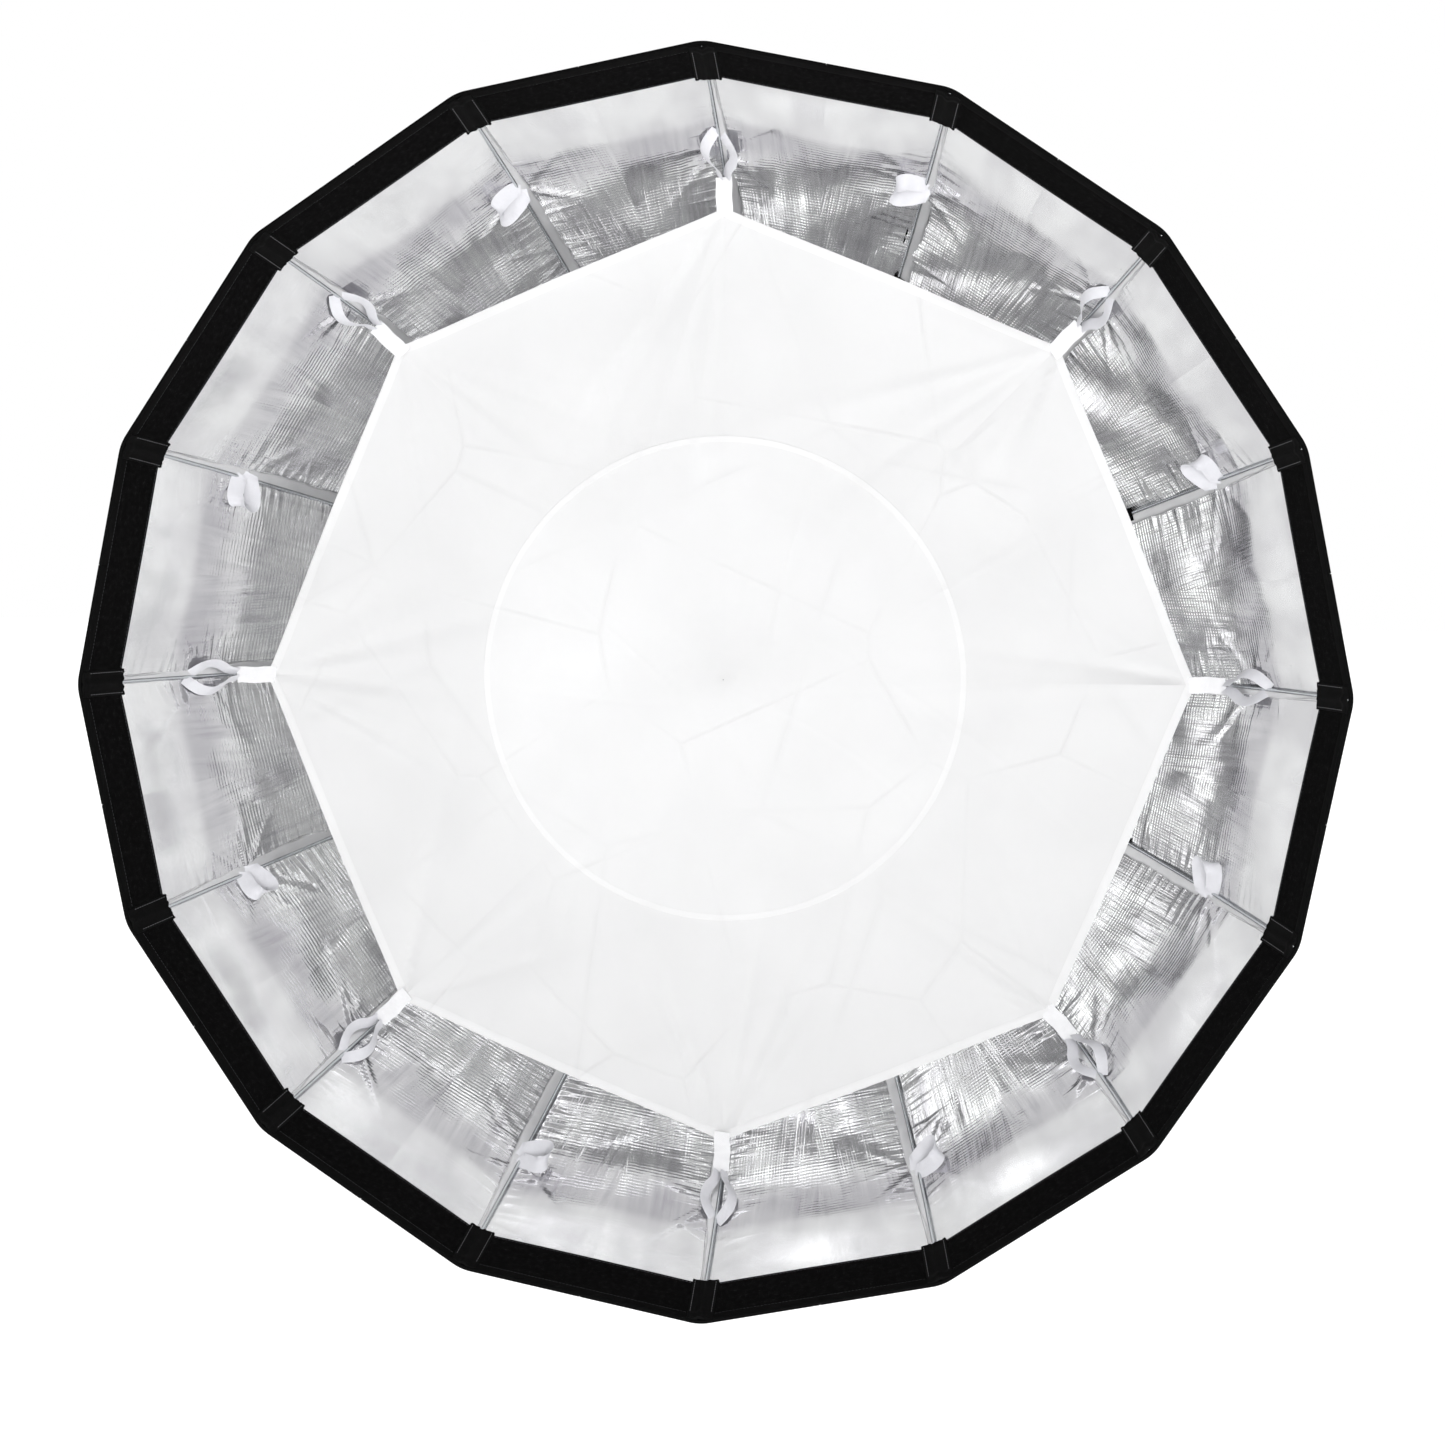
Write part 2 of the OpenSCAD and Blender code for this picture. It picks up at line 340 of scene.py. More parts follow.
def material(name, colour, roughness=0.5, metallic=0.0, sheen=0.0, specular=0.5):
    mat = bpy.data.materials.new(name)
    mat.use_nodes = True
    shader = mat.node_tree.nodes["Principled BSDF"]
    shader.inputs["Base Color"].default_value = (*colour, 1)
    shader.inputs["Roughness"].default_value = roughness
    shader.inputs["Metallic"].default_value = metallic
    shader.inputs["Sheen Weight"].default_value = sheen
    shader.inputs["Specular IOR Level"].default_value = specular
    return mat


class Nodes:
    """Short forms for adding and linking a material's nodes."""

    def __init__(self, mat):
        self.tree = mat.node_tree
        self.shader = self.tree.nodes["Principled BSDF"]

    def feed(self, node, socket, source):
        if isinstance(source, bpy.types.NodeSocket):
            self.tree.links.new(source, node.inputs[socket])
        else:
            node.inputs[socket].default_value = source

    def add(self, kind, links, **settings):
        node = self.tree.nodes.new(kind)
        for key, value in settings.items():
            setattr(node, key, value)
        for socket, source in links.items():
            self.feed(node, socket, source)
        return node

    def cloth(self, scale=(1, 1, 1), turn=0.0):
        """Coordinates in metres along the cloth, turned and then scaled."""
        source = self.add("ShaderNodeUVMap", {}, uv_map="cloth").outputs["UV"]
        turned = self.add("ShaderNodeMapping", {"Vector": source, "Rotation": (0, 0, turn)})
        links = {"Vector": turned.outputs["Vector"], "Scale": scale}
        return self.add("ShaderNodeMapping", links).outputs["Vector"]

    def solid(self, scale=(1, 1, 1)):
        """Coordinates in metres through a solid piece."""
        source = self.add("ShaderNodeTexCoord", {}).outputs["Object"]
        return self.add("ShaderNodeMapping", {"Vector": source, "Scale": scale}).outputs["Vector"]

    def noise(self, vector, scale=1.0, detail=4.0, roughness=0.55):
        links = {"Vector": vector, "Scale": scale, "Detail": detail, "Roughness": roughness}
        return self.add("ShaderNodeTexNoise", links).outputs["Fac"]

    def threads(self, vector, pitch, direction="X"):
        """A wave with one crest each pitch metres."""
        links = {"Vector": vector, "Scale": math.pi / 10 / pitch, "Distortion": 0.0}
        return self.add("ShaderNodeTexWave", links, bands_direction=direction).outputs["Fac"]

    def creases(self, scale, turn, width):
        """Straight pressed-in lines, scale of them to the metre, 1 along a line and 0 away from it."""
        links = {"Vector": self.cloth(turn=turn), "Scale": scale}
        edge = self.add("ShaderNodeTexVoronoi", links, feature="DISTANCE_TO_EDGE")
        return self.ramp(edge.outputs["Distance"], (0.0, 1.0), (width, 0.0))

    def math(self, operation, a, b=0.0):
        return self.add("ShaderNodeMath", {0: a, 1: b}, operation=operation).outputs[0]

    def ramp(self, fac, *stops):
        """Grey or coloured stops, each (position, value)."""
        node = self.add("ShaderNodeValToRGB", {"Fac": fac})
        elements = node.color_ramp.elements
        while len(elements) < len(stops):
            elements.new(0.5)
        for element, (position, value) in zip(elements, stops):
            element.position = position
            element.color = (*value, 1) if isinstance(value, tuple) else (value, value, value, 1)
        return node.outputs["Color"]

    def bump(self, height, distance, strength=1.0, under=None):
        links = {"Height": height, "Distance": distance, "Strength": strength}
        if under is not None:
            links["Normal"] = under
        return self.add("ShaderNodeBump", links).outputs["Normal"]

    def set(self, **sources):
        for socket, source in sources.items():
            self.feed(self.shader, socket.replace("_", " "), source)


WEAVE_PITCH = 0.0036, 0.0050


def silver(name, roughness, tone, wear_and_shade, metallic=0.9):
    """Metallised lining: smooth near the mouth, then streaked and with a crossed weave, its colour
    darkened deeper in with painted shade.
    """
    mat = material(name, (tone, tone, tone), roughness, metallic=metallic)
    n = Nodes(mat)
    depth = n.add("ShaderNodeSeparateXYZ", {"Vector": n.cloth()}).outputs["Y"]
    # 0 near the mouth, 1 deeper in: where painted shade darkens the colour, and where roughness, dents,
    #                                ridges and weave change
    deep_shade_and_texture = n.ramp(depth, (0.12, 0.0), (0.19, 1.0))
    turned = n.cloth(turn=math.radians(2))
    patchy = n.noise(n.cloth(scale=(17, 10, 1)), 1.0, 3.0)
    streak = n.noise(n.cloth(scale=(150, 7, 1)), 1.0, 4.0, 0.6)
    pressed = n.math("MULTIPLY", deep_shade_and_texture, n.ramp(patchy, (0.38, 0.15), (0.62, 1.0)))
    weave = n.math("ADD", n.threads(turned, WEAVE_PITCH[0]), n.threads(turned, WEAVE_PITCH[1], "Y"))
    weave = n.math("MULTIPLY", weave, pressed)
    mixed = n.math("ADD", n.math("MULTIPLY", streak, 0.55), n.math("MULTIPLY", patchy, 0.45))
    # painted shade: deeper in, the colour is darkened in streaks and patches, as far as the fourth
    # argument allows
    shade = n.ramp(mixed, (0.36, wear_and_shade), (0.48, wear_and_shade * 0.4), (0.60, 0.0))
    value = n.math("SUBTRACT", 1.0, n.math("MULTIPLY", deep_shade_and_texture, shade))
    dark = (tone * 0.47, tone * 0.46, tone * 0.49)
    unshaded_tone = (tone * 0.99, tone, tone * 0.99)
    glossy = n.ramp(n.noise(n.cloth(scale=(13, 8, 1)), 1.0, 2.0), (0.40, 0.86), (0.60, 1.0))
    # painted shade: a darker band in the colour where the lining turns deeper
    shade_band = n.ramp(depth, (0.143, 0.86), (0.158, 0.70), (0.190, 0.72), (0.235, 0.93))
    tone_and_shade_band = n.math("MULTIPLY", glossy, shade_band)
    colour = n.ramp(n.math("MULTIPLY", value, tone_and_shade_band), (0.5, dark), (1.0, unshaded_tone))
    rough = n.math("MULTIPLY", n.ramp(deep_shade_and_texture, (0.0, roughness * 2.0), (1.0, roughness)),
                   n.ramp(patchy, (0.3, 0.75), (0.7, 1.0)))
    dents = n.math("MULTIPLY", patchy, n.ramp(deep_shade_and_texture, (0.0, 0.10), (1.0, 1.0)))
    ridges = n.math("MULTIPLY", streak, n.ramp(deep_shade_and_texture, (0.0, 0.35), (1.0, 1.0)))
    relief = n.bump(dents, 0.0030, 0.5)
    relief = n.bump(ridges, 0.0011, 0.9, relief)
    relief = n.bump(weave, 0.00017, 0.9, relief)
    n.set(Base_Color=colour, Roughness=rough, Normal=relief)
    return mat


def black_cloth():
    """Coated shell cloth with a close plain weave."""
    mat = material("shell_black", (0.010, 0.010, 0.011), 0.66, sheen=0.02, specular=0.22)
    n = Nodes(mat)
    weave = n.math("MULTIPLY", n.threads(n.cloth(), 0.0011), n.threads(n.cloth(), 0.0011, "Y"))
    grid = n.math("MAXIMUM", n.ramp(n.threads(n.cloth(), 0.0075), (0.90, 0.0), (0.97, 1.0)),
                  n.ramp(n.threads(n.cloth(), 0.0075, "Y"), (0.90, 0.0), (0.97, 1.0)))
    cockle = n.noise(n.cloth(), 40.0, 3.0)
    colour = n.ramp(n.noise(n.cloth(), 90.0, 4.0),
                    (0.3, (0.008, 0.008, 0.009)), (0.7, (0.014, 0.014, 0.015)))
    relief = n.bump(cockle, 0.0012, 0.4)
    relief = n.bump(grid, 0.00012, 0.6, relief)
    n.set(Base_Color=colour, Roughness=n.ramp(weave, (0.0, 0.70), (1.0, 0.54)),
          Normal=n.bump(weave, 0.00010, 0.7, relief))
    return mat


def loop_pile():
    """Loop side of a touch fastener: a matt pile with paler specks."""
    mat = material("loop_tape", (0.004, 0.004, 0.004), 0.98, specular=0.04)
    n = Nodes(mat)
    pile = n.noise(n.cloth(), 900.0, 5.0, 0.75)
    clumps = n.noise(n.cloth(), 160.0, 4.0)
    fuzz = n.math("ADD", n.math("MULTIPLY", pile, 0.75), n.math("MULTIPLY", clumps, 0.25))
    colour = n.ramp(fuzz, (0.50, 0.0015), (0.58, 0.005), (0.70, 0.055))
    n.set(Base_Color=colour, Normal=n.bump(pile, 0.0006, 0.9, n.bump(clumps, 0.0008, 0.6)))
    return mat


def grosgrain(name, tone, specular=0.10):
    """Ribbed binding: fine ribs across the tape."""
    mat = material(name, (tone,) * 3, 0.8, specular=specular)
    n = Nodes(mat)
    rib = n.threads(n.cloth(), 0.0012)
    wear_and_shade = n.noise(n.cloth(scale=(60, 300, 1)), 1.0, 3.0)
    n.set(Base_Color=n.ramp(wear_and_shade, (0.3, tone * 0.8), (0.7, tone * 1.35)),
          Normal=n.bump(rib, 0.0003, 0.8, n.bump(wear_and_shade, 0.0004, 0.4)))
    return mat


def webbing(name, colour, shade):
    """White woven tape, with a close herringbone."""
    mat = material(name, colour, 0.8, sheen=0.15, specular=0.25)
    n = Nodes(mat)
    twill = n.math("ADD", n.threads(n.cloth(turn=0.7), 0.0016), n.threads(n.cloth(turn=-0.7), 0.0016))
    soft = n.noise(n.cloth(scale=(70, 70, 1)), 1.0, 3.0)
    dark = tuple(c * shade for c in colour)
    n.set(Base_Color=n.ramp(soft, (0.3, dark), (0.7, colour)), Normal=n.bump(twill, 0.00022, 0.7))
    return mat


def diffuser_cloth(name, tone):
    """Thin white nylon with a fine plain weave and faint pressed-in creases."""
    mat = material(name, (tone,) * 3, 0.85, sheen=0.12, specular=0.25)
    n = Nodes(mat)
    weave = n.math("MULTIPLY", n.threads(n.cloth(), 0.0010), n.threads(n.cloth(), 0.0010, "Y"))
    crumple = n.noise(n.cloth(scale=(26, 17, 1)), 1.0, 5.0, 0.6)
    warp = n.noise(n.cloth(scale=(400, 12, 1)), 1.0, 2.0)
    lines = n.math("MAXIMUM", n.creases(2.3, 0.25, 0.014), n.creases(4.1, 1.1, 0.014))
    cloud = n.noise(n.cloth(scale=(7, 7, 1)), 1.0, 3.0)
    lines = n.math("MULTIPLY", lines, n.ramp(cloud, (0.42, 0.0), (0.60, 1.0)))
    # painted shade: the crease lines are also darkened in the colour, over a cloudy tone
    shade = n.math("SUBTRACT", cloud, n.math("MULTIPLY", lines, 0.35))
    relief = n.bump(crumple, 0.0022, 0.35)
    relief = n.bump(warp, 0.0002, 0.35, relief)
    relief = n.bump(lines, 0.0014, 0.60, relief)
    n.set(Base_Color=n.ramp(shade, (0.1, tone * 0.94), (0.6, tone)),
          Normal=n.bump(weave, 0.00005, 0.6, relief))
    through = n.add("ShaderNodeBsdfTranslucent", {"Color": (tone, tone, tone, 1)})
    both = n.add("ShaderNodeMixShader", {0: 0.40, 1: n.shader.outputs[0], 2: through.outputs[0]})
    n.feed(n.tree.nodes["Material Output"], "Surface", both.outputs[0])
    return mat


def metal(name, colour, roughness, grain):
    """Machined or drawn metal, its grain stretched as grain says."""
    mat = material(name, colour, roughness, metallic=1.0)
    n = Nodes(mat)
    lines = n.noise(n.solid(scale=grain), 1.0, 3.0)
    smudge = n.noise(n.solid(), 45.0, 3.0)
    n.set(Roughness=n.ramp(smudge, (0.3, roughness * 0.8), (0.7, roughness * 1.3)),
          Normal=n.bump(lines, 0.00006, 0.5))
    return mat


def plastic(name, colour, roughness):
    """Moulded plastic with a fine spark-eroded texture."""
    mat = material(name, colour, roughness)
    n = Nodes(mat)
    grain = n.noise(n.solid(), 1500.0, 2.0)
    scuff = n.noise(n.solid(), 70.0, 4.0)
    bright = tuple(c * 1.4 for c in colour)
    n.set(Base_Color=n.ramp(scuff, (0.45, colour), (0.75, bright)),
          Roughness=n.ramp(scuff, (0.3, roughness * 0.9), (0.7, roughness * 1.15)),
          Normal=n.bump(grain, 0.00008, 0.5))
    return mat


# the fourth figure sets how dark the painted shade deeper in gets; the seam flaps get less of it than
# the lining
LINING = silver("lining_silver", 0.14, 0.97, 0.26)
FLAP = silver("flap_silver", 0.20, 0.92, 0.10)
SHELL = black_cloth()
LOOP = loop_pile()
BINDING = grosgrain("binding_black", 0.0028, 0.04)
POCKET = grosgrain("pocket_black", 0.0035, 0.05)
THREAD = webbing("thread_grey", (0.26, 0.26, 0.27), 0.85)
POCKET_THREAD = webbing("thread_slate", (0.09, 0.09, 0.095), 0.8)
DULL_THREAD = webbing("thread_dark", (0.05, 0.05, 0.055), 0.8)
TAPE = webbing("tape_white", (0.76, 0.76, 0.77), 0.94)
# painted shade: the same white tape as the corner tapes, made darker and cooler for the loops at the
# ribs
SHADED_TAPE = webbing("tape_shaded_white", (0.66, 0.66, 0.69), 0.93)
CLOTH = diffuser_cloth("diffuser_white", 0.87)
DISC = diffuser_cloth("disc_white", 0.89)
HEM = diffuser_cloth("hem_white", 0.93)
ROD = metal("rod_steel", (0.56, 0.58, 0.60), 0.15, (900, 900, 900))
BRIGHT = metal("bright_metal", (0.50, 0.51, 0.53), 0.30, (300, 2500, 300))
DARK = metal("hub_black", (0.055, 0.056, 0.060), 0.42, (300, 2500, 300))
SCREW = metal("screw_steel", (0.45, 0.45, 0.47), 0.35, (1500, 1500, 1500))
HOLDER = plastic("holder_black", (0.022, 0.022, 0.024), 0.48)
KNOB = plastic("knob_black", (0.015, 0.015, 0.016), 0.55)
COVER = plastic("cover_grey", (0.035, 0.035, 0.038), 0.5)

CAD_FINISH = {
    "bayonet_ring": BRIGHT, "retaining_ring": BRIGHT, "hub_ring": DARK, "hub_back_plate": COVER,
    "hub_front_cover": BRIGHT, "cover_screws": SCREW, "pivot_pins": SCREW, "release_ring": DARK,
    "lock_knob": KNOB,
}


def finish_cad_nodes():
    for name, obj in frame["nodes"].items():
        look = CAD_FINISH.get(name)
        if name.startswith("rib_holder_"):
            look = HOLDER
        elif name.startswith("rib_"):
            look = ROD
        if look is None:
            continue
        if not obj.material_slots:
            obj.data.materials.append(look)
        for slot in obj.material_slots:
            slot.material = look


# ---- Canopy: the lining and the shell, one gore between each two ribs ----

HALF_COLS = 26
COLS = np.linspace(-1, 1, 2 * HALF_COLS + 1)
S_SMOOTH = 0.060        # the lining lies behind the rim band up to here
ROW_PITCH = 0.0025      # of the mesh where the lining is seen
ROWS = np.concatenate([np.linspace(0, S_SMOOTH, 6)[:-1], np.arange(S_SMOOTH, S_SEEN, ROW_PITCH),
                       np.linspace(S_SEEN, S_HUB, 34)])
RING_ENDS = [0, S_BAND, 0.125, 0.195, 0.275, 0.375, 0.510, 0.680, S_HUB]


def relief(g):
    """How far the lining of gore g stands in from its ribs' chord: its sag, then its folds."""
    rng = np.random.default_rng(GORE_SEED + g)
    s, w = ROWS[:, None], COLS[None, :]
    half = arc_point(s, LINING_GAP)[0] * math.sin(HALF)
    x = w * half
    edge = half - np.abs(x)
    drawn_in = sag(s, w)
    height = np.zeros_like(drawn_in)
    # slow undulation, less near the mouth
    slow = 0.0005 * (0.3 + 0.7 * smooth((s - 0.09) / 0.08))
    for _ in range(7):
        a, b = rng.uniform(-1, 1) * 55, rng.uniform(-1, 1) * 70
        height += slow * np.sin(a * x + b * s + rng.uniform(0, math.tau))
    # puckers across the cloth, beside both seams
    for side in (-1, 1):
        d = half - side * x
        at = S_BAND + 0.02
        while at < S_SEEN:
            strength = 0.25 + 0.75 * smooth((at - 0.10) / 0.08)
            size = rng.uniform(0.0004, 0.0014) * strength
            reach = rng.uniform(0.018, 0.050)
            lean = rng.normal(0, 0.16)
            width = rng.uniform(0.0024, 0.0046)
            height += size * hump(s - at - lean * d, width) * hump(d, reach) * (1 - hump(d, 0.004))
            at += rng.uniform(0.009, 0.019)
    # folds that run out from where each tape is sewn in
    for side in (-1, 1):
        d = half - side * x
        for _ in range(3):
            lean = rng.uniform(-1.3, 1.3)
            line = (s - S_TAB - lean * d) / math.hypot(1, lean)
            size = rng.uniform(0.0006, 0.0016)
            height += size * hump(line, rng.uniform(0.004, 0.008)) * hump(d - 0.03, 0.035)
    # long shallow folds along the gore
    for _ in range(11):
        at = rng.uniform(-0.8, 0.8)
        line = (w - at - rng.normal(0, 0.4) * (s - 0.2)) * half
        reach = hump(s - rng.uniform(0.16, 0.30), rng.uniform(0.04, 0.09))
        size = rng.choice([-1, 1]) * rng.uniform(0.0003, 0.0011)
        height += size * hump(line, rng.uniform(0.003, 0.009)) * reach
    free = smooth((s - S_BAND + 0.012) / 0.03) * smooth(edge / 0.010)
    return drawn_in, height * free


def soften(grid, width=7):
    """Running mean both ways."""
    for _ in range(2):
        padded = np.pad(grid, ((width // 2, width // 2), (0, 0)), mode="edge")
        grid = np.mean([padded[k:k + len(grid)] for k in range(width)], axis=0).T
    return grid


def gore(g):
    """Points and normals of the lining and then of the shell over gore g, each facing its own way."""
    radial, height = arc_point(ROWS[:, None], LINING_GAP)
    w = COLS[None, :]
    flat = place(g + 0.5, radial * math.cos(HALF), w * radial * math.sin(HALF), height)
    phi = EDGE_PHI - ROWS[:, None] / ARC_R
    inward = unit(place(g + 0.5, -np.cos(phi), 0, -np.sin(phi) * math.cos(HALF)))
    drawn, folds = relief(g)
    lining = flat + inward * (drawn + folds)[..., None]
    outward_folds = np.minimum(np.minimum(soften(folds), folds), 0)
    shell = flat + inward * (drawn + outward_folds - FABRIC_T)[..., None]
    return lining, -surface_normals(lining), shell, surface_normals(shell)


def beside_rib(i, gores, k):
    """Item k of the gores on both sides of rib i, from mid gore to the rib and on to mid gore."""
    left, right = gores[i - 1][k], gores[i][k]
    return left[:, HALF_COLS:], right[:, :HALF_COLS + 1]


def joined(left, right):
    """The two sides as one grid, with their mean at the rib."""
    middle = (left[:, -1:] + right[:, :1]) / 2
    return np.concatenate([left[:, :-1], middle, right[:, 1:]], axis=1)


def canopy():
    gores = [gore(g) for g in range(RIBS)]
    ends = [int(np.argmin(np.abs(ROWS - s))) for s in RING_ENDS]
    for i in range(RIBS):
        inner = joined(*beside_rib(i, gores, 0))
        left_n, right_n = beside_rib(i, gores, 1)
        outer = joined(*beside_rib(i, gores, 2))
        outer_n = unit(joined(*beside_rib(i, gores, 3)))
        cells = np.concatenate([corners(left_n), corners(right_n)], axis=1)
        across = np.concatenate([COLS[HALF_COLS:] - 1, COLS[1:HALF_COLS + 1] + 1])
        u = across[None, :] * arc_point(ROWS[:, None], LINING_GAP)[0] * math.sin(HALF)
        uv = np.stack(np.broadcast_arrays(u + 0.37 * i, ROWS[:, None]), axis=-1)
        for ring, (a, b) in enumerate(zip(ends, ends[1:])):
            rows = slice(a, b + 1)
            piece = slab(f"canopy_{i + 1}_{ring + 1}", inner[rows], outer[rows], [LINING, SHELL],
                         uv[rows], cells[a:b], back_material=1, back_normals=outer_n[rows])
            with_canopy(piece, i, "canopy_lining", ROWS[a], ROWS[b])
            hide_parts(f"canopy_panel_{i + 1}")


# ---- Rim and seams, beside each rib ------------------------------

BAND_T = 0.0016
BINDING_W = 0.010
PATCH_HALF = 0.016
PATCH_S = (-0.0005, 0.0690)
POCKET_KEEP = 0.30      # share of a pocket's width meant to be left when the ribs are folded; only passed on as keep
STITCH = 0.0030
STITCH_PITCH = 0.0042
RIM_THREAD = STITCH, 0.00035
POCKET_STITCH = STITCH, 0.0004
KEEPER_R = 0.533        # where a rod passes behind the diffuser's side

# columns of what runs round the rim, closer together at the rib
RIM_COLS = np.concatenate([np.linspace(-1, -0.10, 16), np.linspace(-0.08, 0.08, 9),
                           np.linspace(0.10, 1, 16)])


def band(i):
    """Loop tape round the inside of the mouth, from the middle of one gore to the next."""
    s = np.array([0.007, 0.008, 0.020, 0.034, 0.048, 0.060, S_BAND - 0.001, S_BAND])
    lift = np.array([0.6, 1, 1, 1, 1, 1, 0.85, 0.25])[:, None] * BAND_T
    outline = half_chord(s)[:, None] * RIM_COLS[None, :]
    piece = strip(f"rim_band_{i + 1}", i, outline, s, (lift, 0.0), [LOOP])
    with_canopy(piece, i, "loop_tape", S_BAND / 2)
    for n, at in enumerate((0.0105, S_BAND - 0.0035)):
        t = np.arange(PATCH_HALF + 0.003, half_chord(at) - 0.001, STITCH_PITCH)
        t = np.concatenate([-t[::-1], t])
        thread = sewn(f"band_stitches_{i + 1}_{n + 1}", i, t, at, BAND_T, RIM_THREAD, DULL_THREAD,
                      step=(NUDGE, 0))
        with_canopy(thread, i, "loop_tape", S_BAND / 2)


def binding(i):
    """Ribbed tape folded over the very edge."""
    outside = FABRIC_T + 0.0012
    inside = BAND_T + 0.0011
    r, middle = (inside + outside) / 2, (inside - outside) / 2
    fold = [(-0.0012 - 0.0012 * math.cos(a), middle + r * math.sin(a))
            for a in np.radians(np.linspace(-90, 90, 9))]
    outline = [(BINDING_W, -outside + 0.0006), (BINDING_W * 0.5, -outside), *fold,
               (BINDING_W * 0.5, inside), (BINDING_W - 0.0006, inside), (BINDING_W, inside - 0.0007)]
    s = np.array([p[0] for p in outline])[:, None]
    lift = np.array([p[1] for p in outline])[:, None]
    t = half_chord(0) * RIM_COLS[None, :]
    front = skin(i, t, s, lift, 0.012)
    core = 0.5 * (front + skin(i, t, BINDING_W * 0.4, 0.0004, 0.012))
    around = np.concatenate([[0], np.cumsum(np.hypot(np.diff(s[:, 0]), np.diff(lift[:, 0])))])
    uv = np.stack(np.broadcast_arrays(t, around[:, None]), axis=-1)
    piece = slab(f"rim_binding_{i + 1}", front, core, [BINDING], uv)
    with_canopy(piece, i, "canopy_shell", S_BAND / 2)


def pocket(i):
    """Patch over the rod's tip, domed over the rod and stitched down on both sides."""
    rng = np.random.default_rng(POCKET_SEED + i)
    first, last = PATCH_S
    s = np.concatenate([[first], np.linspace(first + 0.001, last - 0.001, 22), [last]])
    t = np.linspace(-PATCH_HALF, PATCH_HALF, 33)[None, :]
    knots = np.linspace(-PATCH_HALF, PATCH_HALF, 17)
    ragged = 0.0009 * np.interp(t, knots, rng.uniform(-1, 1, knots.size))
    notch = -0.0050 * hump(t, 0.0035)
    share = (s[:, None] - first) / (last - first)
    s = s[:, None] + share ** 6 * (ragged + notch)
    dome = 0.0046 * hump(t, 0.0052)
    over_edge = 0.0016 * smooth((0.013 - s) / 0.004)
    fall = 1 - 0.6 * smooth((np.abs(t) - PATCH_HALF + 0.0012) / 0.0012)
    front = skin(i, t, s, (BAND_T + 0.0012 + dome + over_edge) * fall)
    back = skin(i, t, s, BAND_T * 0.6 + dome * 0.85)
    on_arm(slab(f"rod_pocket_{i + 1}", front, back, [POCKET]), i, POCKET_KEEP)
    at = np.arange(0.014, last - 0.003, STITCH_PITCH)
    for n, side in enumerate((-1, 1)):
        thread = sewn(f"pocket_stitches_{i + 1}_{n + 1}", i, side * (PATCH_HALF - 0.0032), at,
                      BAND_T + 0.0014, POCKET_STITCH, POCKET_THREAD)
        on_arm(thread, i, POCKET_KEEP)


def flap_width(s):
    return 0.0035 + 0.0085 * smooth((s - 0.07) / 0.20)


def flap(i):
    """Seam allowance of the lining, folded down on the clockwise side of its rod, with its stitches."""
    rng = np.random.default_rng(FLAP_SEED + i)
    pitch, phase = rng.uniform(60, 90), rng.uniform(0, 6)
    u = np.array([0, 0.06, 0.25, 0.5, 0.75, 0.93, 1.0])
    top = 0.0032 - 0.0016 * u[None, :] - 0.0012 * smooth((u[None, :] - 0.9) / 0.1)
    for n, (a, b) in enumerate(zip(RING_ENDS[1:-3], RING_ENDS[2:-2])):
        s = np.linspace(a - (0 if n else 0.004), b, 22)
        wave = 0.0005 * np.sin(s * pitch + phase) + 0.0004 * np.sin(s * 150 + i)
        outline = 0.0022 + (flap_width(s) + wave)[:, None] * u[None, :]
        piece = strip(f"seam_flap_{i + 1}_{n + 1}", i, outline, s, (top, top - 0.0010), [FLAP],
                      SEAM_CORNER)
        with_canopy(piece, i, "canopy_lining", a, b)
        if a > S_SEEN:
            continue
        at = np.arange(a + 0.0017, b, 0.0034)
        thread = sewn(f"seam_stitches_{i + 1}_{n + 1}", i, flap_width(at) + 0.0036, at, 0.0006,
                      (0.0022, 0.0004), THREAD, SEAM_CORNER)
        with_canopy(thread, i, "canopy_lining", a, b)


def keeper(i):
    """Black tab sewn over the rod where the seam's flap passes behind the diffuser."""
    s_mid = lining_at(radius=KEEPER_R)
    s = s_mid + np.array([-0.0090, -0.0086, -0.005, 0, 0.005, 0.0086, 0.0090])
    t = np.array([[-0.0065, -0.0061, -0.005, -0.0035, -0.0018, 0,
                   0.0018, 0.0035, 0.006, 0.0091, 0.0095]])
    edge = np.array([0.3, 1, 1, 1, 1, 1, 0.3])[:, None]
    edge = edge * np.where((t < -0.0063) | (t > 0.0093), 0.5, 1.0)
    top = (0.0048 * hump(t, 0.0034) + 0.0026) * edge
    piece = strip(f"rod_keeper_{i + 1}", i, t + 0 * s[:, None], s, (top, top - 0.0011), [POCKET],
                  SEAM_CORNER)
    with_canopy(piece, i, "canopy_shell", s_mid)


def outer_seam(i):
    """Folded seam of the shell along the rod, with a row of stitches on each side."""
    s = np.linspace(BINDING_W - 0.001, S_HUB - 0.012, 60)
    t = np.array([-0.0080, -0.0076, -0.005, -0.002, 0, 0.002, 0.005, 0.0076, 0.0080])[None, :]
    rise = np.array([0.1, 1, 1, 1.3, 1.7, 1.3, 1, 1, 0.1])[None, :] * 0.0009
    under, corner = -FABRIC_T, 0.002
    piece = strip(f"outer_seam_{i + 1}", i, t + 0 * s[:, None], s, (under - rise, under), [POCKET],
                  corner)
    on_arm(piece, i)
    at = np.arange(BINDING_W + 0.006, S_HUB - 0.016, 0.0050)
    for n, side in enumerate((-1, 1)):
        thread = sewn(f"outer_stitches_{i + 1}_{n + 1}", i, side * 0.0058, at, under - 0.0010,
                      (0.0034, 0.0004), DULL_THREAD, corner, rise=-NUDGE)
        on_arm(thread, i)


# ---- Tapes -------------------------------------------------------

TAPE_W = 0.020
TAPE_T = 0.0012


